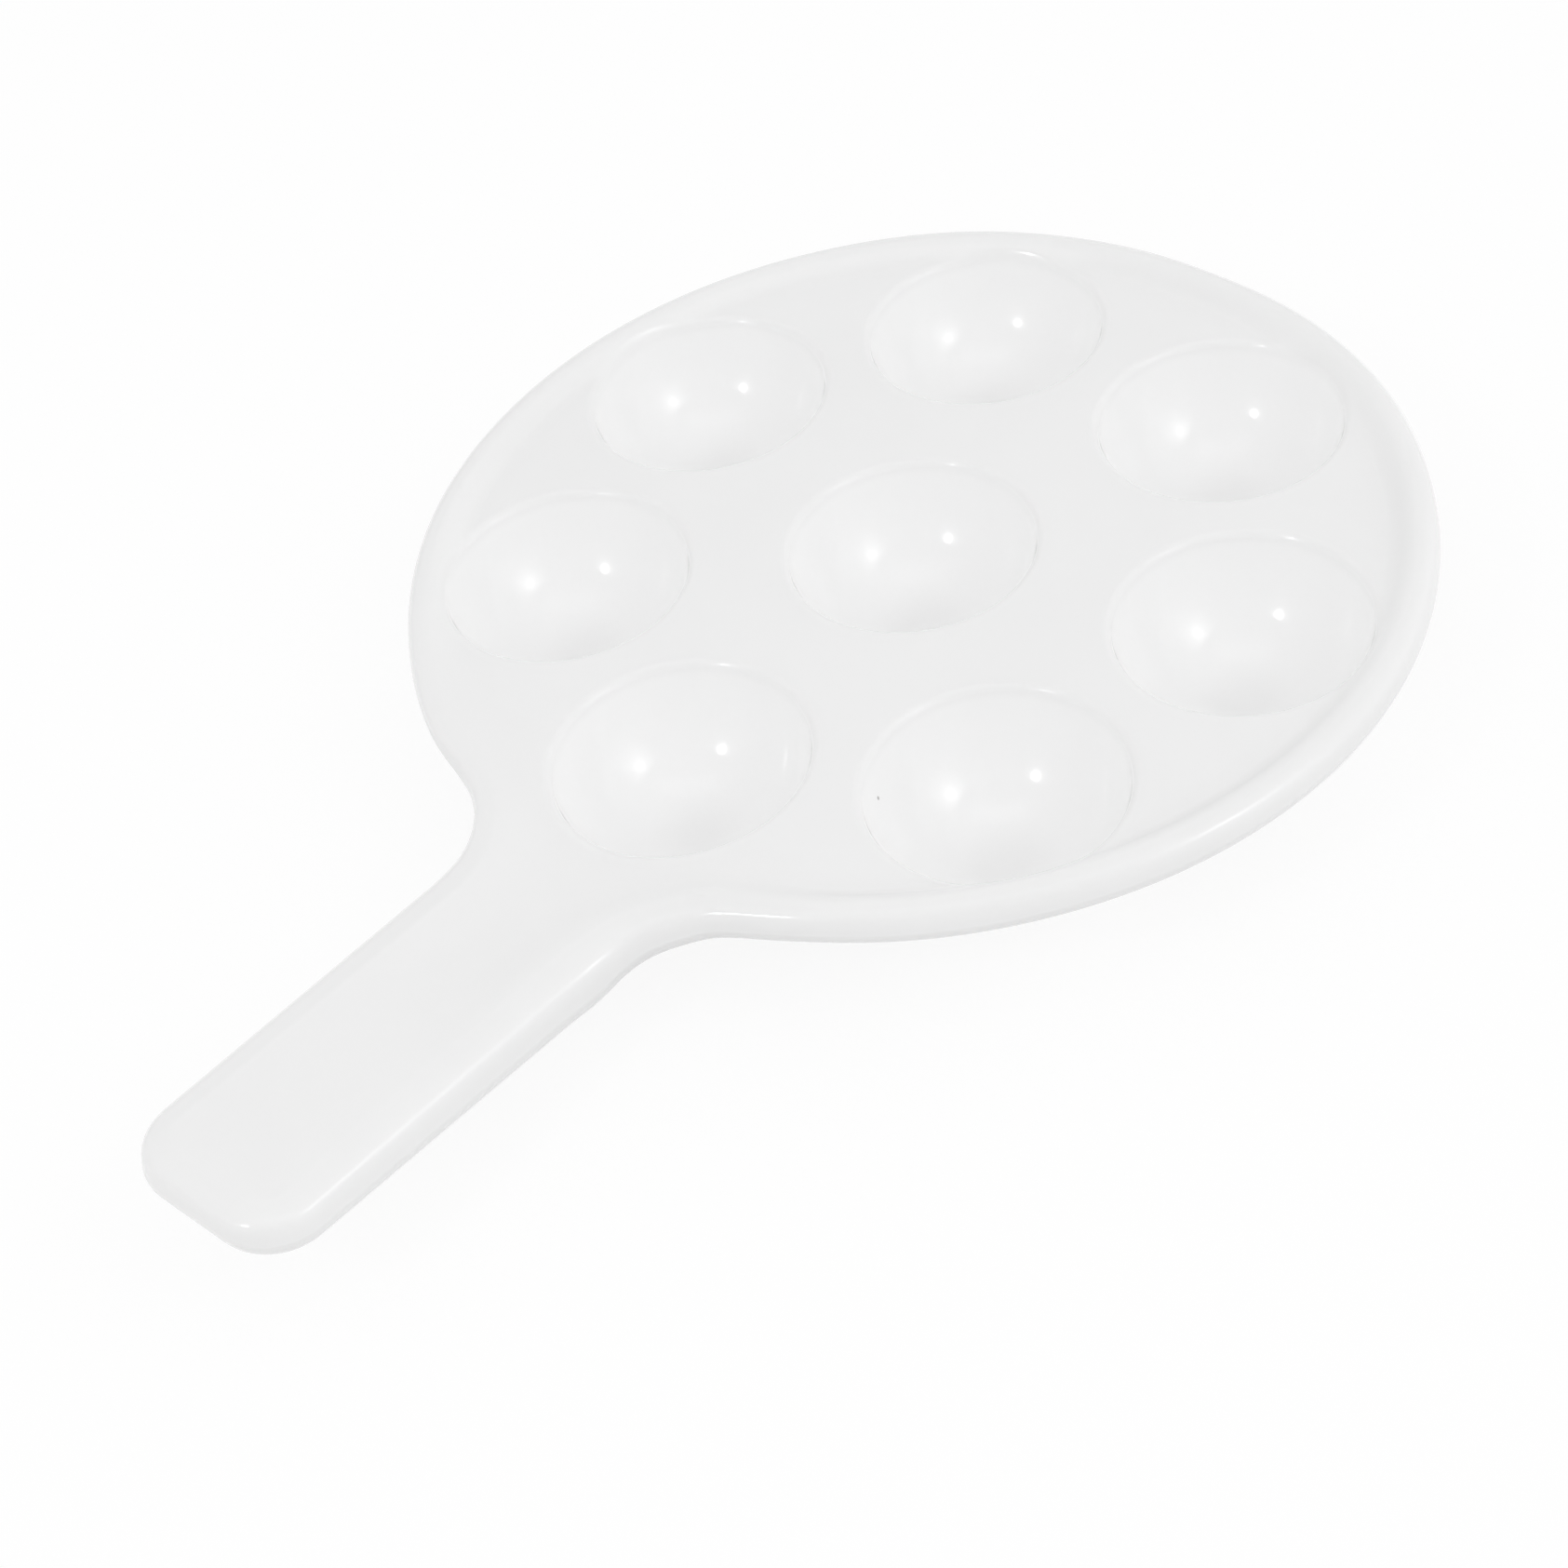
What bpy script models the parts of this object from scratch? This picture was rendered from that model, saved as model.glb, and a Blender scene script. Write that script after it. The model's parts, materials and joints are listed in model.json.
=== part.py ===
"""Escargot dish: a round glazed ceramic plate with snail wells and a flat handle, cast in one piece.

Metres, +Z up. The origin lies under the middle well, on the plane that the dish stands on, and the
handle points along +X. The plate is lofted round its outline. The wells are turned profiles, added below
the deck and cut into it from above, where their lips roll up into the rim.
"""
from math import acos, asin, atan2, cos, hypot, pi, radians, sin, sqrt

import bmesh
import bpy

MM = 0.001

# Wells: one in the middle and a ring of others round it
RING_WELLS = 7
WELL_MOUTH_RADIUS = 20.9 * MM      # where the lip begins to turn down from the deck
WELL_DEPTH = 17.2 * MM             # from the deck to the lowest point of the bowl
WELL_LIP_RADIUS = 1.4 * MM         # rounding between deck and bowl
WELL_GAP = 5.93 * MM               # deck between two neighbouring mouths of the ring
WELL_WALL = 2.7 * MM
WELL_FLOOR = 2.5 * MM              # clay under the lowest point of the bowl
FOOT_RADIUS = 7.0 * MM             # flat that each well stands on
BUMP_FILLET = 2.0 * MM             # hollow corner between a well and the underside

# Plate
DECK_THICKNESS = 4.8 * MM
RIM_HEIGHT = 2.0 * MM              # crest of the rim above the deck
RIM_WIDTH = 4.85 * MM              # from a ring well's mouth to the outer edge
RIM_SLOPE = 4.5 * MM               # width of the slope from the crest down to the deck

# Handle
HANDLE_LENGTH = 74.0 * MM          # from the disc's edge to the end
HANDLE_ROOT_WIDTH = 33.4 * MM
HANDLE_END_WIDTH = 31.5 * MM
HANDLE_ROOT_THICKNESS = 10.2 * MM
HANDLE_END_THICKNESS = 8.2 * MM
HANDLE_DROP = 1.1 * MM             # its top at the root, below the deck
HANDLE_RISE = 3.2 * MM             # its top at the end, above the root
HANDLE_CORNER_RADIUS = 9.5 * MM
HANDLE_LAND = 0.8 * MM             # flat strip of the top beside the rounded edge
HANDLE_DISH = 1.1 * MM             # depth of the hollow across the handle's root
HANDLE_DISH_FLAT = 4.0 * MM        # flat along the middle of the hollow
HANDLE_DISH_LENGTH = 29.0 * MM     # the hollow runs out over this length beyond the neck
NECK_RADIUS = 13.5 * MM            # concave corner between disc and handle
NECK_INSIDE = 11.5 * MM            # the neck starts this far inside the disc's edge
NECK_OUTSIDE = 12.5 * MM           # and ends this far outside it
RIM_FADE = 23.0 * MM               # the rim sinks to nothing over this length at the handle

# The cuts reach a little past the deck, so that no face of theirs lies exactly in it
LIP_OVERCUT = 0.08 * MM
CUT_ABOVE_DECK = 3.0 * MM          # height of the cutting solids above the deck

# Facets
DISC_STEPS = 36                    # along half of the disc's edge
NECK_STEPS = 6
SIDE_STEPS = 8
CORNER_STEPS = 5
EDGE_STEPS = 6                     # round the outer edge
SLOPE_STEPS = 5
WELL_SEGMENTS = 32
BOWL_STEPS = 6
LIP_STEPS = 4
BUMP_SEGMENTS = 24
BUMP_STEPS = 3
FILLET_STEPS = 2

# Worked out from the above
DECK = WELL_DEPTH + WELL_FLOOR
RING_RADIUS = (2 * WELL_MOUTH_RADIUS + WELL_GAP) / (2 * sin(pi / RING_WELLS))
DISC_RADIUS = RING_RADIUS + WELL_MOUTH_RADIUS + RIM_WIDTH
HANDLE_END = DISC_RADIUS + HANDLE_LENGTH
NECK_START = DISC_RADIUS - NECK_INSIDE
NECK_END = DISC_RADIUS + NECK_OUTSIDE
# Sphere of a bowl that reaches the depth and meets the rounded lip without a corner
BOWL_RADIUS = (WELL_MOUTH_RADIUS**2 + WELL_DEPTH**2 - 2 * WELL_LIP_RADIUS * WELL_DEPTH) / (2 * WELL_DEPTH)
BOWL_CENTRE = DECK - WELL_DEPTH + BOWL_RADIUS


def ease(start, end, x):
    """0 before start, 1 after end, and a smooth step between."""
    t = min(max((x - start) / (end - start), 0.0), 1.0)
    return t * t * (3 - 2 * t)


def along_handle(x):
    """0 at the end of the neck and 1 at the handle's end."""
    return max(x - NECK_END, 0.0) / (HANDLE_END - NECK_END)


def floor_level(x):
    """Height of the deck, which runs on as the handle's top: it dips at the neck and then rises."""
    return DECK - HANDLE_DROP * ease(NECK_START, NECK_END, x) + HANDLE_RISE * along_handle(x)


def hollow_share(x):
    """Depth of the hollow at the handle's root: it grows along the neck and runs out beyond it."""
    return ease(NECK_START, NECK_END, x) * (1 - ease(NECK_END, NECK_END + HANDLE_DISH_LENGTH, x))


def rim_share(x):
    """How much of the rim's height is left: all of it round the disc, none on the handle."""
    return 1 - ease(DISC_RADIUS - RIM_FADE, DISC_RADIUS, x)


def crest_level(x):
    return floor_level(x) + RIM_HEIGHT * rim_share(x)


def under_level(x):
    """Height of the underside: level below the disc, deeper at the thick root of the handle."""
    root = HANDLE_ROOT_THICKNESS
    thickness = root + (HANDLE_END_THICKNESS - root) * along_handle(x)
    share = ease(NECK_START, NECK_END, x)
    return (DECK - DECK_THICKNESS) * (1 - share) + (floor_level(x) - thickness) * share


def edge_radius(x):
    """Radius of the half-round outer edge."""
    return (crest_level(x) - under_level(x)) / 2


def handle_side(x):
    """Half the width of the handle, which tapers towards its end."""
    along = (x - DISC_RADIUS) / HANDLE_LENGTH
    return (HANDLE_ROOT_WIDTH + (HANDLE_END_WIDTH - HANDLE_ROOT_WIDTH) * along) / 2


def slope_width(x):
    """Width of the slope inside the rounded edge: the rim's, or the side of the handle's hollow."""
    hollow = max(handle_side(x) - edge_radius(x) - HANDLE_DISH_FLAT / 2, HANDLE_LAND)
    land = HANDLE_LAND + (hollow - HANDLE_LAND) * hollow_share(x)
    return land + (RIM_SLOPE - land) * rim_share(x)


def rim_rise(x, y):
    """How far the rim lifts the top of the disc at a place on it."""
    out = hypot(x, y)
    edge_x = DISC_RADIUS * x / max(out, MM)
    t = (DISC_RADIUS - out - edge_radius(edge_x)) / slope_width(edge_x)
    return RIM_HEIGHT * rim_share(edge_x) * (1 + cos(pi * min(max(t, 0.0), 1.0))) / 2


def arc(cx, cy, radius, start, end, steps):
    """Points from one angle to another, with the direction from the centre at each."""
    points = []
    for i in range(steps + 1):
        angle = start + (end - start) * i / steps
        points.append((cx + radius * cos(angle), cy + radius * sin(angle), cos(angle), sin(angle)))
    return points


def arc_points(cx, cy, radius, start, end, steps):
    return [point[:2] for point in arc(cx, cy, radius, start, end, steps)]


def half_outline():
    """The outline at y >= 0, from the far side of the disc to the handle's end.

    Each station is x, y and the outward direction there.
    """
    taper = (HANDLE_END_WIDTH - HANDLE_ROOT_WIDTH) / 2 / HANDLE_LENGTH
    tilt = atan2(taper, 1)
    run = hypot(taper, 1)

    # The neck's circle touches the disc and the handle's side from outside
    offset = handle_side(0) + NECK_RADIUS * run
    reach = DISC_RADIUS + NECK_RADIUS
    neck_x = (sqrt((run * reach)**2 - offset**2) - taper * offset) / run**2
    neck_y = offset + taper * neck_x
    meet = atan2(neck_y, neck_x)
    disc = arc(0, 0, DISC_RADIUS, pi, meet, DISC_STEPS)
    neck = arc(neck_x, neck_y, NECK_RADIUS, meet + pi, 1.5 * pi + tilt, NECK_STEPS)
    neck = [(x, y, -nx, -ny) for x, y, nx, ny in neck]

    corner_x = HANDLE_END - HANDLE_CORNER_RADIUS
    corner_y = handle_side(corner_x) - HANDLE_CORNER_RADIUS * run
    corner = arc(corner_x, corner_y, HANDLE_CORNER_RADIUS, pi / 2 + tilt, 0, CORNER_STEPS)
    start, end = neck[-1], corner[0]
    straight = []
    for i in range(1, SIDE_STEPS):
        x = start[0] + (end[0] - start[0]) * i / SIDE_STEPS
        straight.append((x, handle_side(x), -sin(tilt), cos(tilt)))
    return disc + neck[1:] + straight + corner


def section(x, y, nx, ny):
    """Cross-section of the edge at one station of the outline, from below, round the edge, to the deck.

    The levels are taken at each point's own x, so that the handle's top and underside stay even planes
    right up to its end.
    """
    radius, width = edge_radius(x), slope_width(x)
    rim = RIM_HEIGHT * rim_share(x)
    points = []
    for i in range(EDGE_STEPS + 1):
        angle = pi * (1.5 - i / EDGE_STEPS)
        inset = radius * (1 + cos(angle))
        own_x = x - nx * inset
        top, bottom = floor_level(own_x) + rim, under_level(own_x)
        points.append((own_x, y - ny * inset, (top + bottom + (top - bottom) * sin(angle)) / 2))
    for i in range(1, SLOPE_STEPS + 1):
        t = i / SLOPE_STEPS
        inset = radius + width * t
        own_x = x - nx * inset
        fall = (1 - cos(pi * t)) / 2
        drop = HANDLE_DISH * hollow_share(own_x) * fall
        points.append((own_x, y - ny * inset, floor_level(own_x) + rim * (1 - fall) - drop))
    return points


def make_plate():
    """Disc, rim and handle: the edge's section lofted round the outline, closed above and below."""
    half = half_outline()
    mirrored = [(x, -y, nx, -ny) for x, y, nx, ny in half[:0:-1]]
    stations = half + mirrored
    bm = bmesh.new()
    rows = []
    for station in stations:
        rows.append([bm.verts.new(point) for point in section(*station)])
    count = len(rows)
    for i in range(count):
        here, after = rows[i], rows[(i + 1) % count]
        for j in range(len(here) - 1):
            bm.faces.new((here[j], here[j + 1], after[j + 1], after[j]))

    # The flat disc is one face, and the neck and handle are strips from side to side
    flat = sum(1 for x, *_ in half if x <= NECK_START)
    for level in (0, -1):
        loop = [row[level] for row in rows]
        bm.faces.new([loop[i] for i in range(-flat + 1, flat)])
        for i in range(flat - 1, len(half) - 1):
            bm.faces.new((loop[i], loop[i + 1], loop[-i - 1], loop[-i]))
    bmesh.ops.recalc_face_normals(bm, faces=bm.faces)
    return new_object("dish", bm)


def bowl_profile():
    """Inside of a well from its lowest point up over the rounded lip, closed above the deck."""
    lip_z = DECK + LIP_OVERCUT - WELL_LIP_RADIUS
    touch = atan2(lip_z - BOWL_CENTRE, WELL_MOUTH_RADIUS)
    points = arc_points(0, BOWL_CENTRE, BOWL_RADIUS, -pi / 2, touch, BOWL_STEPS)
    points += arc_points(WELL_MOUTH_RADIUS, lip_z, WELL_LIP_RADIUS, touch + pi, pi / 2, LIP_STEPS)[1:]
    above = DECK + CUT_ABOVE_DECK
    return points + [(WELL_MOUTH_RADIUS, above), (0, above)]


def bump_profile():
    """Outside of a well, from its flat foot up to the rounded corner that joins it to the underside."""
    radius = BOWL_RADIUS + WELL_WALL
    under = DECK - DECK_THICKNESS
    reach = hypot(FOOT_RADIUS, BOWL_CENTRE)
    if reach > radius:
        # The straight flank of the foot touches the sphere without a corner
        start = acos(radius / reach) - atan2(BOWL_CENTRE, FOOT_RADIUS)
    else:
        # A thick wall reaches past the foot, and the sphere itself is cut flat
        start = -asin(BOWL_CENTRE / radius)
    corner_z = under + LIP_OVERCUT - BUMP_FILLET
    corner_r = sqrt((radius + BUMP_FILLET)**2 - (corner_z - BOWL_CENTRE)**2)
    touch = atan2(corner_z - BOWL_CENTRE, corner_r)
    points = [(0, 0), (FOOT_RADIUS, 0)]
    points += arc_points(0, BOWL_CENTRE, radius, start, touch, BUMP_STEPS)
    points += arc_points(corner_r, corner_z, BUMP_FILLET, touch + pi, pi / 2, FILLET_STEPS)[1:]
    return points + [(corner_r, DECK - DECK_THICKNESS / 2), (0, DECK - DECK_THICKNESS / 2)]


def well_places():
    """The middle well and the ring, with one well of the ring on the handle's axis."""
    places = [(0, 0)]
    for i in range(RING_WELLS):
        angle = 2 * pi * i / RING_WELLS
        places.append((RING_RADIUS * cos(angle), RING_RADIUS * sin(angle)))
    return places


def make_turned(name, profile, segments, follows_rim):
    """One turned solid at each well, all in one guide object. One that follows the rim is lifted with it."""
    bm = bmesh.new()
    for x, y in well_places():
        points = [bm.verts.new((r, 0, z)) for r, z in profile]
        edges = [bm.edges.new(pair) for pair in zip(points, points[1:])]
        bmesh.ops.translate(bm, verts=points, vec=(x, y, 0))
        bmesh.ops.spin(bm, geom=points + edges, cent=(x, y, 0), axis=(0, 0, 1), angle=2 * pi, steps=segments)
    bmesh.ops.remove_doubles(bm, verts=bm.verts, dist=0.001 * MM)
    bmesh.ops.recalc_face_normals(bm, faces=bm.faces)
    if follows_rim:
        for vert in bm.verts:
            vert.co.z += rim_rise(vert.co.x, vert.co.y)
    guide = new_object(name, bm)
    guide.hide_render = True
    guide.display_type = "WIRE"
    return guide


def new_object(name, bm):
    mesh = bpy.data.meshes.new(name)
    bm.to_mesh(mesh)
    bm.free()
    mesh.shade_smooth()
    mesh.set_sharp_from_angle(angle=radians(40))
    made = bpy.data.objects.new(name, mesh)
    bpy.context.scene.collection.objects.link(made)
    return made


def add_boolean(target, guide, operation):
    cut = target.modifiers.new(guide.name, "BOOLEAN")
    cut.operation = operation
    cut.object = guide
    cut.solver = "EXACT"
    cut.use_self = True


def glaze():
    """White glaze, glossy, very slightly warm."""
    made = bpy.data.materials.new("white_glaze")
    made.use_nodes = True
    shader = made.node_tree.nodes["Principled BSDF"]
    shader.inputs["Base Color"].default_value = (0.84, 0.84, 0.83, 1)
    shader.inputs["Roughness"].default_value = 0.12
    shader.inputs["Metallic"].default_value = 0.0
    return made


def build_dish():
    for old in list(bpy.data.objects):
        bpy.data.objects.remove(old)
    dish = make_plate()
    dish.data.materials.append(glaze())
    add_boolean(dish, make_turned("well_bumps", bump_profile(), BUMP_SEGMENTS, False), "UNION")
    add_boolean(dish, make_turned("well_bowls", bowl_profile(), WELL_SEGMENTS, True), "DIFFERENCE")
    print(f"disc {2 * DISC_RADIUS / MM:.1f} mm across, {(DISC_RADIUS + HANDLE_END) / MM:.1f} mm long, "
          f"{(DECK + RIM_HEIGHT) / MM:.1f} mm high at the rim")


build_dish()
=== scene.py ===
# %% [markdown]
# # A glazed escargot dish
#
# The dish is one fired casting: a round plate with eight snail wells, a low rim and a flat handle,
# all under one white glaze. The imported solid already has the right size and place, but its facets
# would show as steps in every reflection. Gloss is unforgiving, so this lesson builds the same form
# again as a fine mesh, gives it a glaze, and lights it like the studio picture it is compared with.

# %% Load the frame and keep the size of the solid
import json
from math import acos, atan2, cos, hypot, pi, radians, sin, sqrt

import bpy
import numpy as np
from mathutils import Matrix, Vector
from mathutils.geometry import delaunay_2d_cdt


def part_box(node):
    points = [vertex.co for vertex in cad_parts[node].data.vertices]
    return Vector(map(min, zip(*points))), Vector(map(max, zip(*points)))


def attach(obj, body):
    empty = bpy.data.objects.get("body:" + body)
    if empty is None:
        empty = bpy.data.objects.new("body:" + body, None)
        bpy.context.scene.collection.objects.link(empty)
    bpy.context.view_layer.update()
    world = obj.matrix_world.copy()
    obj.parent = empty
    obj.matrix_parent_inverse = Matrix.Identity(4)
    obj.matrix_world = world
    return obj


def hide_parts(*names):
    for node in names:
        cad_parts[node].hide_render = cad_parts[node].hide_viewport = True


MM = 0.001

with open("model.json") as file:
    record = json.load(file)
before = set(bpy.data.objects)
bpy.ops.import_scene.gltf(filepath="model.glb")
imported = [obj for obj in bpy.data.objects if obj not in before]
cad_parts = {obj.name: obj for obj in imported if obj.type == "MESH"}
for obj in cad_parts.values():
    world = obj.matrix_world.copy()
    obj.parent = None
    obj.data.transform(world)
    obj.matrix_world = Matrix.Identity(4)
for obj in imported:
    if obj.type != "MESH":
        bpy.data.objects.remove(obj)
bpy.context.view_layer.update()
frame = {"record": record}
DISH_LOW, DISH_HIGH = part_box("dish")
print("solid from", [round(v / MM, 1) for v in DISH_LOW], "to", [round(v / MM, 1) for v in DISH_HIGH], "mm")

# %% [markdown]
# ## Camera
#
# A camera can be placed by eye, or worked out. Eight equal round wells on one flat deck make a good
# ruler: in the picture each is an ellipse, and only one camera turns equal circles into those eight
# ellipses. The fit gave a direction, a distance and a roll, and a lens of about 71 mm on a 36 mm
# sensor. They are written here as a turn about a target on the deck, because that is how a person
# would set up a tripod.

# %% Camera at the picture's viewpoint
PICTURE = 1685                     # pixels along each side of the picture
FOCAL = 3310.3                     # focal length in those pixels
SENSOR = 36.0                      # millimetres
DECK = 19.7 * MM                   # height of the deck above the table
TARGET = Vector((51.26 * MM, 17.18 * MM, DECK))
AZIMUTH, ELEVATION, ROLL = radians(48.475), radians(44.66), radians(-11.419)
DISTANCE = 447.98 * MM

backward = Vector((cos(ELEVATION) * cos(AZIMUTH), cos(ELEVATION) * sin(AZIMUTH), sin(ELEVATION)))
right = Vector((0, 0, 1)).cross(backward).normalized()
turn = Matrix.Rotation(ROLL, 3, backward)
right = turn @ right
upward = backward.cross(right)

lens = bpy.data.cameras.new("picture_camera")
lens.sensor_width = SENSOR
lens.lens = FOCAL * SENSOR / PICTURE
lens.clip_start = 10 * MM
camera = bpy.data.objects.new("picture_camera", lens)
camera.matrix_world = Matrix((right, upward, backward)).transposed().to_4x4()
camera.location = TARGET + backward * DISTANCE
bpy.context.scene.collection.objects.link(camera)
bpy.context.scene.camera = camera
print(f"lens {lens.lens:.1f} mm, camera at {[round(v / MM) for v in camera.location]} mm")

# %% [markdown]
# ## Sizes
#
# Whatever the frame can tell is read from it: the disc's radius, the end of the handle, and the
# place of every well. The record states the free space in a well as a few boxes that share one middle,
# so each middle is one well. The rest are the dish's own thicknesses and roundings.

# %% Sizes of the dish
WELLS = []
for opening in frame["record"]["physics"]["openings"]:
    low, high = (Vector(corner).to_2d() for corner in opening["box_m"])
    middle = (low + high) / 2
    if all((middle - well).length > 1 * MM for well in WELLS):
        WELLS.append(middle)
DISC_RADIUS = -DISH_LOW.x
HANDLE_END = DISH_HIGH.x

WELL_MOUTH_RADIUS = 20.9 * MM      # where the lip begins to turn down
WELL_DEPTH = 17.2 * MM
WELL_LIP_RADIUS = 1.4 * MM
WELL_WALL = 2.7 * MM
FOOT_RADIUS = 7.0 * MM
FOOT_CORNER = 0.8 * MM             # rounding of the foot's edge
BUMP_FILLET = 2.0 * MM             # hollow corner between a well and the underside
PATCH_RADIUS = 23.0 * MM           # each well is meshed as a round patch of this radius

DECK_THICKNESS = 4.8 * MM
RIM_HEIGHT = 2.0 * MM
RIM_SLOPE = 4.5 * MM               # width of the slope between the crest and the deck
RIM_FADE = 23.0 * MM               # length over which the rim sinks towards the handle
RIM_LATE = (-4.0 * MM, 8.0 * MM)   # it sinks sooner at one side of the neck, later at the other

HANDLE_ROOT_WIDTH = 33.4 * MM
HANDLE_END_WIDTH = 31.5 * MM
HANDLE_ROOT_THICKNESS = 10.2 * MM
HANDLE_END_THICKNESS = 8.2 * MM
HANDLE_DROP = 1.1 * MM             # dip at the neck
HANDLE_RISE = 3.2 * MM             # from there to the end
HANDLE_CORNER_RADIUS = 9.5 * MM
HANDLE_DISH = 1.1 * MM             # hollow across the handle's root
HANDLE_DISH_WIDTH = 9.5 * MM       # its slope, in from each edge
NECK_RADIUS = 13.5 * MM
NECK_START = DISC_RADIUS - 11.5 * MM
NECK_END = DISC_RADIUS + 12.5 * MM

BOWL_RADIUS = (WELL_MOUTH_RADIUS**2 + WELL_DEPTH**2) / (2 * WELL_DEPTH) - WELL_LIP_RADIUS
BOWL_CENTRE = DECK - WELL_DEPTH + BOWL_RADIUS
print(f"{len(WELLS)} wells, bowls of {BOWL_RADIUS / MM:.1f} mm radius,",
      f"disc {2 * DISC_RADIUS / MM:.1f} mm across")

# %% [markdown]
# ## Outline
#
# Seen from above, the edge is a circle, a hollow curve at each side of the neck, two nearly parallel
# sides and a rounded end. Drawing it as arcs keeps every joint tangent. Each station also keeps its
# outward direction, because the rim's section will be laid square to the edge.
#
# A cast and hand-sponged edge is never a perfect circle. The picture shows the disc swell and draw in
# by up to half a millimetre, and the neck filled by about a millimetre at one side and drawn in at the
# other. So a few gentle swells are added, each with a direction, a spread and a height.

# %% Outline of the disc, neck and handle
SPACING = 1.3 * MM                 # distance between stations
SWELLS = [                         # direction in degrees, spread in degrees, height
    (95, 22, 0.55 * MM),
    (150, 14, 0.25 * MM),
    (178, 9, -0.5 * MM),
    (-148, 14, 0.45 * MM),
    (52, 16, -0.3 * MM),
    (-42, 18, -0.3 * MM),
    (14.5, 4, 1.2 * MM),           # the neck, filled at one side
    (-20.5, 5, -0.8 * MM),         # and drawn in at the other
]
SWELL_END = DISC_RADIUS + 20 * MM  # distance from the centre where the swells have faded out
SWELL_FADE = 10 * MM


def arc(cx, cy, radius, start, end):
    """Stations along an arc: x, y and the direction from its centre."""
    steps = max(2, round(abs(end - start) * radius / SPACING))
    angles = np.linspace(start, end, steps + 1)
    return np.column_stack((cx + radius * np.cos(angles), cy + radius * np.sin(angles),
                            np.cos(angles), np.sin(angles)))


def half_outline():
    """Stations at y >= 0, from the far side of the disc to the handle's end."""
    taper = (HANDLE_END_WIDTH - HANDLE_ROOT_WIDTH) / 2 / (HANDLE_END - DISC_RADIUS)
    tilt, run = atan2(taper, 1), hypot(taper, 1)

    def side(x):
        return HANDLE_ROOT_WIDTH / 2 + taper * (x - DISC_RADIUS)

    # The neck's arc touches the disc and the handle's side, which places its centre
    offset = side(0) + NECK_RADIUS * run
    reach = DISC_RADIUS + NECK_RADIUS
    neck_x = (sqrt((run * reach)**2 - offset**2) - taper * offset) / run**2
    neck_y = offset + taper * neck_x
    meet = atan2(neck_y, neck_x)
    disc = arc(0, 0, DISC_RADIUS, pi, meet)
    neck = arc(neck_x, neck_y, NECK_RADIUS, meet + pi, 1.5 * pi + tilt) * (1, 1, -1, -1)

    corner_x = HANDLE_END - HANDLE_CORNER_RADIUS
    corner_y = side(corner_x) - HANDLE_CORNER_RADIUS * run
    corner = arc(corner_x, corner_y, HANDLE_CORNER_RADIUS, pi / 2 + tilt, 0)
    side_x = np.linspace(neck[-1, 0], corner[0, 0], round((corner[0, 0] - neck[-1, 0]) / SPACING) + 1)
    ones = np.ones_like(side_x)
    straight = np.column_stack((side_x, side(side_x), -sin(tilt) * ones, cos(tilt) * ones))
    end_y = np.linspace(corner_y, 0, round(corner_y / SPACING) + 1)
    ones = np.ones_like(end_y)
    end = np.column_stack((HANDLE_END * ones, end_y, ones, 0 * ones))
    return np.vstack((disc, neck[1:], straight[1:-1], corner, end[1:]))


def swell(x, y):
    """How far the real edge stands outside the drawn one, at a place on the edge."""
    direction = np.degrees(np.arctan2(y, x))
    total = np.zeros_like(direction)
    for middle, spread, height in SWELLS:
        away = (direction - middle + 180) % 360 - 180
        total += height * np.exp(-(away / spread)**2)
    return total * np.clip((SWELL_END - np.hypot(x, y)) / SWELL_FADE, 0, 1)


half = half_outline()
OUTLINE = np.vstack((half, half[-2:0:-1] * (1, -1, 1, -1)))
OUTLINE[:, :2] += OUTLINE[:, 2:] * swell(OUTLINE[:, 0], OUTLINE[:, 1])[:, None]
print(len(OUTLINE), "stations round the edge")

# %% [markdown]
# ## Levels and the rim's section
#
# The deck is flat. It runs on as the top of the handle, which dips a little at the neck and then
# rises to its end. The rim stands above the deck all round the disc and sinks to nothing where the
# handle begins, so one surface flows into the other. Underneath, the handle is thickest at its root.
#
# Most of those heights depend only on how far along the handle a point lies, so they are plain
# functions of x. The rim asks for more: it sinks sooner at one side of the neck than at the other, so
# what depends on it takes a station, which is a place on the edge.
#
# Across the edge, the lower half of the section is a quarter circle. The upper corner is fuller and
# tighter, a curve between a quarter circle and a square corner that leans in a little, and on the
# handle its shoulder falls gently too. Inside it an S-shaped slope leads down to the deck.

# %% Heights along the dish and across its edge
EDGE_HALF = radians(46)            # how far round the edge its outermost band reaches, up and down
# The upper corner's power, 2 for a quarter circle and more for a tighter corner, how far it leans in
# and how far its shoulder falls, both as shares of the edge's radius
RIM_EDGE = (3.2, 0.18, 0.0)
HANDLE_EDGE = (5.0, 0.17, 0.22)
SECTION_STEPS = 400
# Where the hollow across the handle's root begins, where it reaches its full depth, and where it ends
DISH_START = DISC_RADIUS - 20 * MM
DISH_FULL = NECK_END - 6 * MM
DISH_END = NECK_END + 29 * MM


def ease(start, end, x):
    """0 up to start, 1 from end on, smooth between."""
    t = np.clip((x - start) / (end - start), 0, 1)
    return t * t * (3 - 2 * t)


def along_handle(x):
    """0 up to the neck's end, 1 at the handle's end."""
    return np.clip(x - NECK_END, 0, None) / (HANDLE_END - NECK_END)


def handle_level(x):
    return DECK - HANDLE_DROP * ease(NECK_START, NECK_END, x) + HANDLE_RISE * along_handle(x)


def floor_level(x):
    """Height of the upper side away from the edge, with the hollow across the handle's root."""
    dish = HANDLE_DISH * ease(DISH_START, DISH_FULL, x) * (1 - ease(NECK_END, DISH_END, x))
    return handle_level(x) - dish


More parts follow.
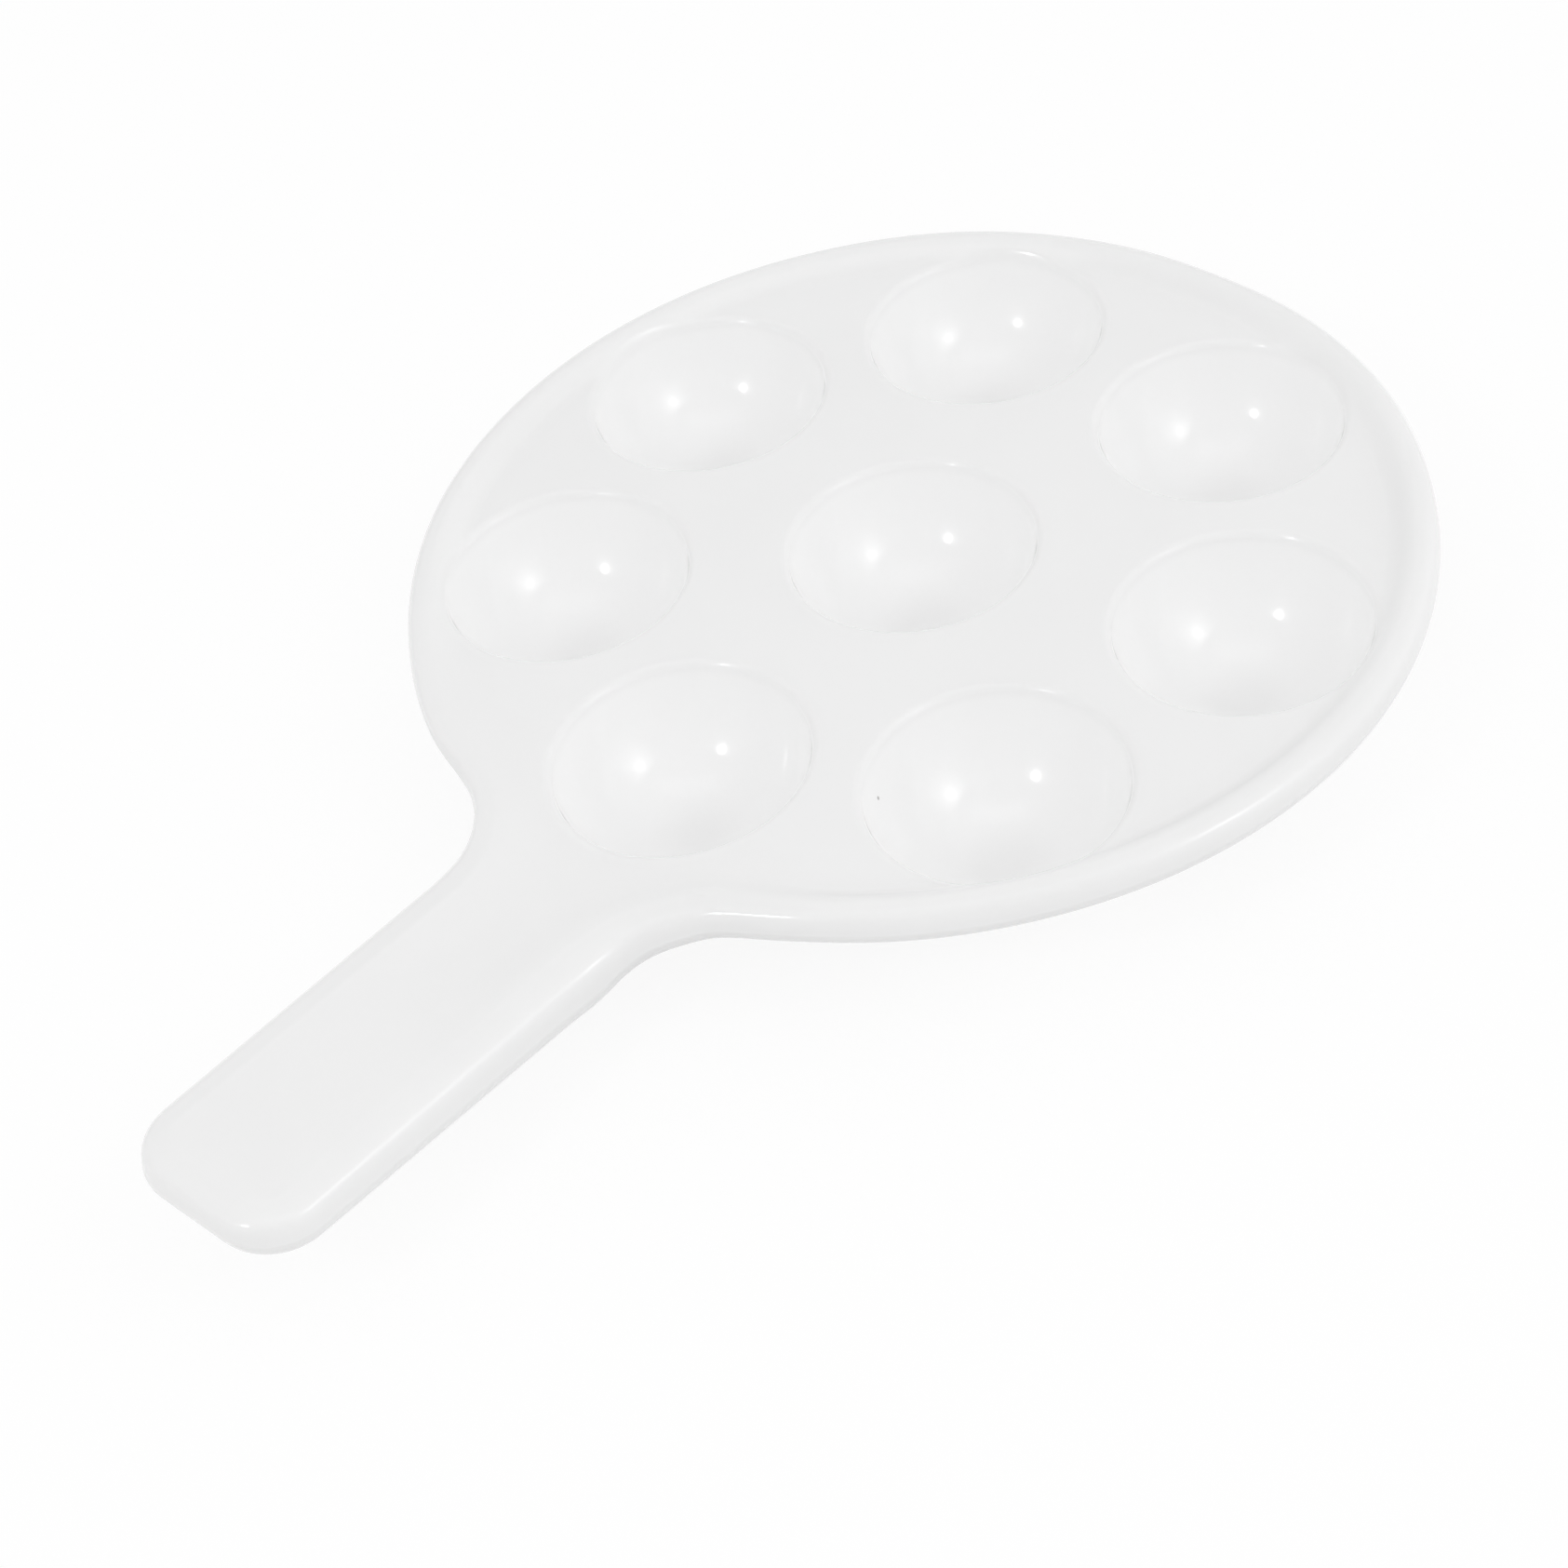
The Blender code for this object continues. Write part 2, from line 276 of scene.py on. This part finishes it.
def rim_share(station):
    """1 round the disc, 0 on the handle, where the rim has sunk to nothing."""
    end = DISC_RADIUS + np.where(station[:, 1] > 0, RIM_LATE[1], RIM_LATE[0])
    return 1 - ease(end - RIM_FADE, end, station[:, 0])


def crest_level(station):
    return handle_level(station[:, 0]) + RIM_HEIGHT * rim_share(station)


def under_level(x):
    thickness = HANDLE_ROOT_THICKNESS + (HANDLE_END_THICKNESS - HANDLE_ROOT_THICKNESS) * along_handle(x)
    share = ease(NECK_START, NECK_END, x)
    return (DECK - DECK_THICKNESS) * (1 - share) + (handle_level(x) - thickness) * share


def edge_radius(station):
    return (crest_level(station) - under_level(station[:, 0])) / 2


def slope_width(station):
    share = rim_share(station)
    return RIM_SLOPE * share + HANDLE_DISH_WIDTH * (1 - share)


def edge_section(power, lean, shoulder):
    """Distances in from the edge and the heights there, from the middle of the edge to its crest."""
    turn = np.linspace(0, pi / 2, SECTION_STEPS)
    up = np.sin(turn)**(2 / power)
    inward = 1 - np.cos(turn)**(2 / power) + lean * up
    return inward, (1 - shoulder) * up + shoulder * inward / (1 + lean)


RIM_SECTION, HANDLE_SECTION = edge_section(*RIM_EDGE), edge_section(*HANDLE_EDGE)


def edge_up(share_in, rim):
    """Height on the upper half of the edge: 0 at its middle, 1 at its crest."""
    return np.interp(share_in, *RIM_SECTION) * rim + np.interp(share_in, *HANDLE_SECTION) * (1 - rim)


def under_rounding(inset, radius):
    """How far the lower half, a quarter circle, has risen from the underside."""
    short = np.clip(radius - inset, 0, radius)
    return radius - np.sqrt(radius**2 - short**2)


def across(inset, station):
    """0 at the crest of the edge, 1 where the flat inside begins, S-shaped between."""
    t = np.clip((inset - edge_radius(station)) / slope_width(station), 0, 1)
    return (1 - np.cos(pi * t)) / 2


def top_crest(station, x):
    """Height of the crest, carried along the handle's rise to another x."""
    return crest_level(station) + HANDLE_RISE * (along_handle(x) - along_handle(station[:, 0]))


def top_height(inset, station, x):
    """Height of the upper side at a distance in from the edge."""
    crest = top_crest(station, x)
    radius = edge_radius(station)
    fall = radius * (1 - edge_up(inset / radius, rim_share(station)))
    return crest + (floor_level(x) - crest) * across(inset, station) - fall


def under_height(inset, station, x):
    """Height of the underside at a distance in from the edge."""
    thinning = HANDLE_ROOT_THICKNESS - HANDLE_END_THICKNESS
    ramp = (HANDLE_RISE + thinning) * (along_handle(x) - along_handle(station[:, 0]))
    under = under_level(station[:, 0]) + ramp
    rise = under_rounding(inset, edge_radius(station))
    return under + (under_level(x) - under) * across(inset, station) + rise


rim_top = crest_level(OUTLINE[:1, :2])[0]
print(f"rim's crest at {rim_top / MM:.1f} mm,",
      f"handle's level rising to {floor_level(HANDLE_END) / MM:.1f} mm inside its rounded end")

# %% [markdown]
# ## Wells
#
# A well is a bowl pressed into the deck with a rounded lip. As a turned form it needs only a profile:
# a short arc for the lip and a longer arc for the bowl, tangent to each other. The profile is kept
# as depth below the deck, so that where a lip meets the rim it simply follows the rim's slope up.
# Underneath, the same well shows as a bump with a flat foot, made from a second profile.

# %% Profiles of a well, inside and outside
DECK_RINGS, LIP_STEPS, BOWL_STEPS = 4, 12, 28
FILLET_STEPS, BUMP_STEPS, CORNER_STEPS = 6, 10, 4
FOOT_RINGS = (0.75, 0.5, 0.25)     # rings on the flat of a foot, as shares of its radius


def profile_arc(centre_r, centre_z, radius, start, end, steps):
    return [(centre_r + radius * cos(start + (end - start) * i / steps),
             centre_z + radius * sin(start + (end - start) * i / steps)) for i in range(steps + 1)]


def bowl_profile():
    """Radius and depth below the deck, from outside the lip to the bottom of the bowl."""
    lip_z = DECK - WELL_LIP_RADIUS
    touch = atan2(lip_z - BOWL_CENTRE, WELL_MOUTH_RADIUS)
    points = [(r, DECK) for r in np.linspace(PATCH_RADIUS, WELL_MOUTH_RADIUS, DECK_RINGS, endpoint=False)]
    points += profile_arc(WELL_MOUTH_RADIUS, lip_z, WELL_LIP_RADIUS, pi / 2, touch + pi, LIP_STEPS)
    points += profile_arc(0, BOWL_CENTRE, BOWL_RADIUS, touch, -pi / 2, BOWL_STEPS)[1:-1]
    return [(r, DECK - z) for r, z in points], WELL_DEPTH


def bump_profile():
    """Radius and drop below the underside, from outside the hollow corner to the middle of the foot."""
    radius, under = BOWL_RADIUS + WELL_WALL, DECK - DECK_THICKNESS
    corner_z = under - BUMP_FILLET
    corner_r = sqrt((radius + BUMP_FILLET)**2 - (corner_z - BOWL_CENTRE)**2)
    touch = atan2(corner_z - BOWL_CENTRE, corner_r)
    # A straight flank leaves the round wall where it points at the edge of the foot
    reach = hypot(FOOT_RADIUS, BOWL_CENTRE)
    start = acos(radius / reach) - atan2(BOWL_CENTRE, FOOT_RADIUS)
    points = [(PATCH_RADIUS, under)]
    points += profile_arc(corner_r, corner_z, BUMP_FILLET, pi / 2, touch + pi, FILLET_STEPS)
    points += profile_arc(0, BOWL_CENTRE, radius, touch, start, BUMP_STEPS)[1:]
    # The flank comes down to the foot and turns over its rounded edge
    flank = start - pi / 2
    half_turn = (flank + pi) / 2
    edge_r = FOOT_RADIUS - FOOT_CORNER * np.tan(half_turn)
    points += profile_arc(edge_r, FOOT_CORNER, FOOT_CORNER, start, -pi / 2, CORNER_STEPS)
    points += [(edge_r * share, 0) for share in FOOT_RINGS]
    return [(r, under - z) for r, z in points], under


print(len(bowl_profile()[0]), "rings inside a well,", len(bump_profile()[0]), "outside")

# %% [markdown]
# ## Plan
#
# The upper side and the underside are both height fields over the same plan. A square grid would cut
# across the lips and the rim and show it in the gloss. Here the plan's points follow the form: loops
# along the edge, each a little further in, a round patch at every well, and a sparse grid on the deck.
# A Delaunay triangulation joins the loops and the grid, and leaves the round patches open for the
# turned rings.

# %% Plan of the dish
SEGMENTS = 120                     # points round a well
GRID = 2.4 * MM
GRID_TO_LOOP = 0.6 * GRID          # room between the grid and the innermost loop,
GRID_TO_WELL = 0.5 * GRID          # between the grid and a round patch,
CLEAR = 0.45 * MM                  # and between a loop's points and a round patch
ROUND_LOOPS, SLOPE_LOOPS = 12, 10
BATCH = 2000                       # points that are compared with the edge at one time
INSIDE_FENCES = 1                  # the triangulation's option to keep only what its fences enclose
MERGE = 1e-9                       # points closer together than this would become one


def loop_insets():
    """Distance in from the edge for each loop of the plan, as one array a loop."""
    radius = edge_radius(OUTLINE[:, :2])
    turns = np.linspace(EDGE_HALF, pi / 2, ROUND_LOOPS + 1)
    insets = [radius * (1 - cos(turn)) for turn in turns]
    return insets + [radius + RIM_SLOPE * t for t in np.linspace(0, 1, SLOPE_LOOPS + 1)[1:]]


def away_from_wells(points, room):
    clear = np.ones(len(points), bool)
    for well in WELLS:
        clear &= np.hypot(points[:, 0] - well.x, points[:, 1] - well.y) > PATCH_RADIUS + room
    return clear


def nearest_station(points):
    """For each point, its distance in from the edge and the place of the station it belongs to."""
    inset, station = np.empty(len(points)), np.empty((len(points), 2))
    for start in range(0, len(points), BATCH):
        batch = slice(start, start + BATCH)
        gaps = points[batch, None, :] - OUTLINE[None, :, :2]
        near = (gaps**2).sum(2).argmin(1)
        inset[batch] = -(gaps[np.arange(len(near)), near] * OUTLINE[near, 2:]).sum(1)
        station[batch] = OUTLINE[near, :2]
    return inset, station


def ring_points(well, radius):
    """Plan positions round the axis of a well."""
    circle = np.linspace(0, 2 * pi, SEGMENTS, endpoint=False)
    return np.column_stack((well.x + radius * np.cos(circle), well.y + radius * np.sin(circle)))


def plan_points():
    """Plan positions of the edge loop, the rings of the wells and the free points between them."""
    loops = [OUTLINE[:, :2] - OUTLINE[:, 2:] * inset[:, None] for inset in loop_insets()]
    rings = [ring_points(well, PATCH_RADIUS) for well in WELLS]
    free = np.vstack(loops[1:])
    columns = np.arange(-DISC_RADIUS, HANDLE_END, GRID)
    rows = np.arange(-DISC_RADIUS, DISC_RADIUS, GRID * sqrt(3) / 2)
    grid = np.array([(x + (i % 2) * GRID / 2, y) for i, y in enumerate(rows) for x in columns])
    inset, station = nearest_station(grid)
    deep = inset > edge_radius(station) + RIM_SLOPE + GRID_TO_LOOP
    grid = grid[deep & away_from_wells(grid, GRID_TO_WELL)]
    return loops[0], rings, np.vstack((free[away_from_wells(free, CLEAR)], grid))


def chain(first, count):
    """Pairs of neighbours that make a row of points into a closed fence."""
    return [(first + i, first + (i + 1) % count) for i in range(count)]


edge_loop, well_rings, free_points = plan_points()
groups = [edge_loop] + well_rings + [free_points]
starts = np.cumsum([0] + [len(group) for group in groups])
fences = [pair for first, group in zip(starts, groups[:-1]) for pair in chain(first, len(group))]
scattered = [Vector(point) for point in np.vstack(groups)]
joined = delaunay_2d_cdt(scattered, fences, [], INSIDE_FENCES, MERGE)
PLAN = np.array([tuple(point) for point in joined[0]])
plan_faces = np.array(joined[2])
plan_faces = plan_faces[away_from_wells(PLAN[plan_faces].mean(1), 0)]
print(len(PLAN), "plan points,", len(plan_faces), "triangles between the wells")

# %% [markdown]
# ## One closed skin
#
# The plan is lifted twice, once to the upper side and once to the underside, each with its own turned
# rings in the wells. A band round the outermost part of the edge joins the two. Everything is put
# into one mesh with shared points, so the skin is closed and the shading flows across it without a
# seam.

# %% Lift the plan into a closed mesh
BAND_STEPS, LOWER_STEPS = 14, 5    # rows of the band above the middle of the edge, and below it
CROWDING = 2.5                     # draws the upper rows together where the edge stands upright


class Skin:
    """Collects points and faces for one mesh."""

    def __init__(self):
        self.points, self.faces, self.count = [], [], 0

    def add(self, xyz):
        self.points.append(np.asarray(xyz, float))
        first, self.count = self.count, self.count + len(xyz)
        return np.arange(first, self.count)

    def strip(self, outer, inner, flip):
        """Quads between two closed rings of as many points."""
        for i in range(len(outer)):
            j = (i + 1) % len(outer)
            quad = [outer[i], outer[j], inner[j], inner[i]]
            self.faces.append(quad[::-1] if flip else quad)

    def fan(self, ring, tip, flip):
        for i in range(len(ring)):
            three = [ring[i], ring[(i + 1) % len(ring)], tip]
            self.faces.append(three[::-1] if flip else three)


def lift(skin, height, profile, flip):
    """One side of the dish: the plan at its height and the rings of the wells. Returns its edge loop."""
    inset, station = nearest_station(PLAN)
    ids = skin.add(np.column_stack((PLAN, height(inset, station, PLAN[:, 0]))))
    for face in plan_faces:
        three = [ids[i] for i in face]
        skin.faces.append(three[::-1] if flip else three)
    rings, depth = profile
    for number, well in enumerate(WELLS):
        outer = ids[starts[number + 1] + np.arange(SEGMENTS)]
        for radius, drop in rings[1:]:
            flat = ring_points(well, radius)
            inset, station = nearest_station(flat)
            inner = skin.add(np.column_stack((flat, height(inset, station, flat[:, 0]) - drop)))
            skin.strip(outer, inner, flip)
            outer = inner
        inset, station = nearest_station(np.array([well]))
        tip = skin.add([(well.x, well.y, height(inset, station, np.array([well.x]))[0] - depth)])
        skin.fan(outer, tip[0], flip)
    return ids[:len(edge_loop)]


def close_edge(skin, top, bottom):
    """The band of the rounded edge between the two sides."""
    station = OUTLINE[:, :2]
    radius, rim = edge_radius(station), rim_share(station)
    shares = (1 - cos(EDGE_HALF)) * np.linspace(1, 0, BAND_STEPS + 1)[1:]**CROWDING
    rows = [(share, edge_up(share, rim)) for share in shares]
    rows += [(1 - cos(turn), -sin(turn)) for turn in np.linspace(0, EDGE_HALF, LOWER_STEPS + 1)[1:-1]]
    upper = top
    for share, up in rows:
        place = station - OUTLINE[:, 2:] * (radius * share)[:, None]
        crest, under = top_crest(station, place[:, 0]), under_height(radius, station, place[:, 0])
        lower = skin.add(np.column_stack((place, (crest + under + (crest - under) * up) / 2)))
        skin.strip(upper, lower, False)
        upper = lower
    skin.strip(upper, bottom, False)


skin = Skin()
top_edge = lift(skin, top_height, bowl_profile(), False)
bottom_edge = lift(skin, under_height, bump_profile(), True)
close_edge(skin, top_edge, bottom_edge)

mesh = bpy.data.meshes.new("glazed_dish")
mesh.from_pydata(np.vstack(skin.points).tolist(), [], [list(map(int, face)) for face in skin.faces])
mesh.validate()
mesh.shade_smooth()
dish = bpy.data.objects.new("glazed_dish", mesh)
bpy.context.scene.collection.objects.link(dish)
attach(dish, "root")
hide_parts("dish")
print(len(mesh.vertices), "points,", len(mesh.polygons), "faces in the skin")

# %% [markdown]
# ## Writing a shader as a formula
#
# Node trees are easier to follow as formulas. The small class below wraps one output socket, and its
# operators add Math nodes, so that `1 - mask * 0.3` reads the way it works. Nearly every other node
# comes from one method, which sets the node's options before its sockets.

# %% A socket that can be used in formulas


class Wire:
    """One output socket of a node tree, with operators for values."""

    def __init__(self, tree, socket):
        self.tree, self.socket = tree, socket

    def node(self, kind, settings=None, output=0, **inputs):
        made = self.tree.nodes.new(kind)
        for name, value in (settings or {}).items():
            setattr(made, name, value)
        for name, value in inputs.items():
            place = made.inputs[int(name[1:])] if name[0] == "_" else made.inputs[name.replace("_", " ")]
            if isinstance(value, Wire):
                self.tree.links.new(value.socket, place)
            else:
                place.default_value = value
        return Wire(self.tree, made.outputs[output])

    def math(self, operation, first, second=0.0):
        return self.node("ShaderNodeMath", {"operation": operation}, _0=first, _1=second)

    def __add__(self, other):
        return self.math("ADD", self, other)

    def __sub__(self, other):
        return self.math("SUBTRACT", self, other)

    def __rsub__(self, other):
        return self.math("SUBTRACT", other, self)

    def __mul__(self, other):
        return self.math("MULTIPLY", self, other)

    def __gt__(self, other):
        return self.math("GREATER_THAN", self, other)

    __radd__, __rmul__ = __add__, __mul__

    def step(self, low, high):
        """0 below low, 1 above high, smooth between."""
        return self.node("ShaderNodeMapRange", {"interpolation_type": "SMOOTHSTEP"},
                         Value=self, From_Min=low, From_Max=high)

    def mix(self, first, second):
        """A colour between two, with this value as the share of the second."""
        return self.node("ShaderNodeMix", {"data_type": "RGBA"}, output=2, _0=self, _6=first, _7=second)


def new_material(name):
    made = bpy.data.materials.new(name)
    made.use_nodes = True
    tree = made.node_tree
    shader = tree.nodes["Principled BSDF"]
    place = tree.nodes.new("ShaderNodeTexCoord")
    return made, shader, Wire(tree, place.outputs["Object"])


def plug(shader, name, value):
    if isinstance(value, Wire):
        value.tree.links.new(value.socket, shader.inputs[name])
    else:
        shader.inputs[name].default_value = value


print("wires ready")

# %% [markdown]
# ## Glaze
#
# The glaze is a clear glass over a white body: bright, slightly grey in the picture, with a hard
# gloss. The wells are painted whiter than the deck, painted light that lifts the shade in them, and
# their bottoms a little greyer again, painted shade deep in each bowl. What makes it look fired and
# not like plastic is small: the surface undulates by about a hundredth of a millimetre, the white
# clouds very slightly, and a few dark specks of iron have burned through. The feet are wiped before
# firing, so there the pale clay shows, rough and dry.

# %% Glaze over the dish, bare clay on its feet
GLAZE = (0.90, 0.90, 0.90, 1)
GLAZE_CLOUD = (0.89, 0.89, 0.89, 1)
# Painted light: the wells are painted whiter to lift the shade in them; painted shade greys their bottoms
WELL_PAINTED_LIGHT = (0.965, 0.965, 0.965, 1)    # in the wells
WELL_BOTTOM_PAINTED_SHADE = (0.92, 0.92, 0.92, 1)       # at their bottoms
SPECK = (0.30, 0.28, 0.26, 1)
CLAY = (0.66, 0.63, 0.58, 1)
GLOSS, DRY = 0.05, 0.75            # roughness of the glaze and of the bare clay
GLAZE_IOR = 1.6
WAVE_HEIGHT = 0.02 * MM            # what a full swing of the noise stands for
CLOUD_SCALE, WAVE_SCALE, SPECK_SCALE = 45.0, 70.0, 70.0    # cells to a metre
CLOUD_RANGE = (0.35, 0.75)         # values of the noise between which a cloud sets in
SPECK_SIZE = (0.012, 0.028)        # its dark core and its faded edge, as shares of a cell
SPECK_RARE, SPECK_DEPTH = 0.93, 0.7    # share of the cells without a speck, and how dark one is
WIPED = (0.10 * MM, 0.45 * MM)     # heights between which bare clay gives way to glaze
# Painted shade at the bottom of a well fades out between these distances from its axis
BOTTOM_PAINTED_SHADE_FADE = (1 * MM, 9 * MM)     # distances from a well's axis over which the glaze gets whiter
# The painted light in the wells ends just inside the lip
WELL_PAINTED_LIGHT_EDGE = (WELL_MOUTH_RADIUS - 1.7 * MM, WELL_MOUTH_RADIUS - 1.0 * MM)


def well_distance(place):
    """Distance from the axis of the nearest well. The ring's sectors are folded into one."""
    x, y = (place.node("ShaderNodeSeparateXYZ", output=i, Vector=place) for i in (0, 1))
    ring = (WELLS[1] - WELLS[0]).length
    count = len(WELLS) - 1
    out = x.math("SQRT", x * x + y * y)
    turn = x.math("ARCTAN2", y, x) * (count / (2 * pi))
    turn = (turn - x.math("ROUND", turn)) * (2 * pi / count)
    along = out * x.math("COSINE", turn) - ring
    aside = out * x.math("SINE", turn)
    return x.math("MINIMUM", out, x.math("SQRT", along * along + aside * aside))


def glaze():
    made, shader, place = new_material("white_glaze")
    near = well_distance(place)
    height = place.node("ShaderNodeSeparateXYZ", output=2, Vector=place)
    bare = 1 - height.step(*WIPED)
    clouds = place.node("ShaderNodeTexNoise", Vector=place, Scale=CLOUD_SCALE, Detail=3.0)
    colour = clouds.step(*CLOUD_RANGE).mix(GLAZE, GLAZE_CLOUD)
    # Painted shade at the bottom of each well, painted light over the rest of the well
    painted_well_light_and_shade = near.step(*BOTTOM_PAINTED_SHADE_FADE).mix(WELL_BOTTOM_PAINTED_SHADE, WELL_PAINTED_LIGHT)
    colour = near.step(*WELL_PAINTED_LIGHT_EDGE).mix(painted_well_light_and_shade, colour)
    cells = place.node("ShaderNodeTexVoronoi", output=0, Vector=place, Scale=SPECK_SCALE)
    rare = place.node("ShaderNodeTexVoronoi", output=1, Vector=place, Scale=SPECK_SCALE)
    pick = place.node("ShaderNodeSeparateColor", output=0, Color=rare)
    speck = (1 - cells.step(*SPECK_SIZE)) * (pick > SPECK_RARE) * SPECK_DEPTH
    colour = speck.mix(colour, SPECK)
    colour = bare.mix(colour, CLAY)
    plug(shader, "Base Color", colour)
    plug(shader, "Roughness", bare * (DRY - GLOSS) + GLOSS)
    waves = place.node("ShaderNodeTexNoise", Vector=place, Scale=WAVE_SCALE, Detail=2.0)
    bumped = place.node("ShaderNodeBump", Height=waves, Strength=1.0, Distance=WAVE_HEIGHT)
    plug(shader, "Normal", bumped)
    plug(shader, "IOR", GLAZE_IOR)
    return made


mesh.materials.append(glaze())
print("glaze on", dish.name)

# %% [markdown]
# ## Floor
#
# The picture's ground is plain white. A floor that is lit up to white would throw too much light
# back under the edges, so this one is a pale grey paper to the light that bounces off it, and
# close to white for the rays that are seen: those from the camera, in the gloss and through glass.
# Part of what is seen is still the lit surface, so the soft shadow under the dish stays.

# %% Pale floor
FLOOR_SIZE = 4.0
PAPER_SEEN = (0.98, 0.98, 0.98, 1)
PAPER_LIT = (0.82, 0.82, 0.82, 1)
PAPER_ROUGHNESS, PAPER_SHINE = 0.9, 0.1
WHITE_SHARE = 0.90                 # part of the seen paper that is plain white
FLOOR_DROP = 0.05 * MM             # a hair below the feet, so that the two faces do not flicker


def paper():
    made, shader, place = new_material("floor_paper")
    ray = place.tree.nodes.new("ShaderNodeLightPath")
    seen = sum(Wire(place.tree, ray.outputs[kind]) for kind in
               ("Is Camera Ray", "Is Glossy Ray", "Is Transmission Ray"))
    seen = seen.math("MINIMUM", seen, 1.0)
    plug(shader, "Base Color", seen.mix(PAPER_LIT, PAPER_SEEN))
    plug(shader, "Roughness", PAPER_ROUGHNESS)
    plug(shader, "Specular IOR Level", PAPER_SHINE)
    white = place.node("ShaderNodeEmission", Color=(1, 1, 1, 1), Strength=1.0)
    lit = Wire(place.tree, shader.outputs["BSDF"])
    both = place.node("ShaderNodeMixShader", _0=seen * WHITE_SHARE, _1=lit, _2=white)
    place.tree.links.new(both.socket, place.tree.nodes["Material Output"].inputs["Surface"])
    return made


floor_mesh = bpy.data.meshes.new("floor")
reach = FLOOR_SIZE / 2
corners = [(x * reach, y * reach, 0) for x, y in ((-1, -1), (1, -1), (1, 1), (-1, 1))]
floor_mesh.from_pydata(corners, [], [(0, 1, 2, 3)])
floor_mesh.materials.append(paper())
floor = bpy.data.objects.new("floor", floor_mesh)
floor.location.z = -FLOOR_DROP
bpy.context.scene.collection.objects.link(floor)
print("floor", FLOOR_SIZE, "m square")

# %% [markdown]
# ## Sky
#
# Most of the light in the picture comes from everywhere, which is why the white stays so flat. The
# shading still tells a little: the sides of the room were bright, as beside two white walls, the right
# one more than the left, and it was dimmer overhead, behind the dish and behind the camera. Three
# numbers are enough, one for the base and one for each wall, because the square of a direction's
# sideways part is 1 at a wall and falls to 0 midway between the two.

# %% Soft sky with two bright sides
SKY_BASE = 0.755
SKY_RIGHT = 0.41
SKY_LEFT = 0.17

world = bpy.data.worlds.new("studio")
bpy.context.scene.world = world
world.use_nodes = True
backdrop = world.node_tree.nodes["Background"]
look = Wire(world.node_tree, world.node_tree.nodes.new("ShaderNodeTexCoord").outputs["Generated"])
sideways = look.node("ShaderNodeVectorMath", {"operation": "DOT_PRODUCT"}, output=1,
                     _0=look, _1=(-sin(AZIMUTH), cos(AZIMUTH), 0))
seen = Wire(world.node_tree, world.node_tree.nodes.new("ShaderNodeLightPath").outputs["Is Camera Ray"])
right_wall = sideways.math("MAXIMUM", sideways, 0.0)
left_wall = sideways.math("MINIMUM", sideways, 0.0)
sky = SKY_BASE + SKY_RIGHT * right_wall * right_wall + SKY_LEFT * left_wall * left_wall
plug(backdrop, "Color", (1, 1, 1, 1))
plug(backdrop, "Strength", sky + seen * (1 - sky))
print(f"sky {SKY_BASE}, with {SKY_RIGHT} more at the right wall and {SKY_LEFT} more at the left")

# %% [markdown]
# ## Lamps
#
# Two lamps stood in front, one on each side of the camera. Every well mirrors both, and eight mirrors
# are enough to find where they stood. A real soft box is never even: each is brightest at its bulb,
# which sits above its middle, with a hot core there and a glow that fades with the distance from it.
# The left one is smaller and its core is hotter: mirrored a second time, it draws a thin bright streak
# on the right wall of each well. A wide, faint panel overhead leaves a pale patch at the bottom of the
# wells.

# %% Two soft lamps and a panel overhead
LAMP_TARGET = Vector((0, 0, DECK))
LAMP_DISTANCE, PANEL_DISTANCE = 1.0, 1.2
PANEL_STRENGTH = 0.36


def place_lamp(name, azimuth, elevation, distance, width, height):
    """An area lamp aimed at the dish. Its power follows its area, so its nodes set how bright it looks."""
    made = bpy.data.lights.new(name, "AREA")
    made.shape = "RECTANGLE"
    made.size, made.size_y = width, height
    made.energy = pi * width * height
    lamp = bpy.data.objects.new(name, made)
    away = Vector((cos(elevation) * cos(azimuth), cos(elevation) * sin(azimuth), sin(elevation)))
    lamp.location = LAMP_TARGET + away * distance
    lamp.rotation_euler = away.to_track_quat("Z", "Y").to_euler()
    bpy.context.scene.collection.objects.link(lamp)
    made.use_nodes = True
    print(f"{name} {width} x {height} m, {distance} m away")
    return made


def soft_box(name, azimuth, elevation, width, height, bulb, glow, reach, core, core_size):
    """A soft box, its bulb so far above its middle: a glow that fades over its reach, and a hot core."""
    tree = place_lamp(name, azimuth, elevation, LAMP_DISTANCE, width, height).node_tree
    spot = Wire(tree, tree.nodes.new("ShaderNodeNewGeometry").outputs["Parametric"])
    spot = spot.node("ShaderNodeVectorMath", {"operation": "MULTIPLY"}, _0=spot, _1=(width, height, 0))
    out = spot.node("ShaderNodeVectorMath", {"operation": "DISTANCE"}, output=1,
                    _0=spot, _1=(width / 2, height / 2 + bulb, 0))
    strength = glow * (1 - out.step(0, reach)) + core * (1 - out.step(0, core_size / 2))
    plug(tree.nodes["Emission"], "Strength", strength)


soft_box("right_lamp", radians(102), radians(34), width=0.64, height=0.65, bulb=0.176,
         glow=1.65, reach=0.42, core=2.2, core_size=0.24)
soft_box("left_lamp", radians(-6), radians(35), width=0.46, height=0.425, bulb=0.14,
         glow=1.6, reach=0.28, core=16.0, core_size=0.20)
panel = place_lamp("top_panel", radians(40), radians(82), PANEL_DISTANCE, width=1.07, height=0.375)
plug(panel.node_tree.nodes["Emission"], "Strength", PANEL_STRENGTH)
bpy.context.scene.view_settings.view_transform = "Standard"
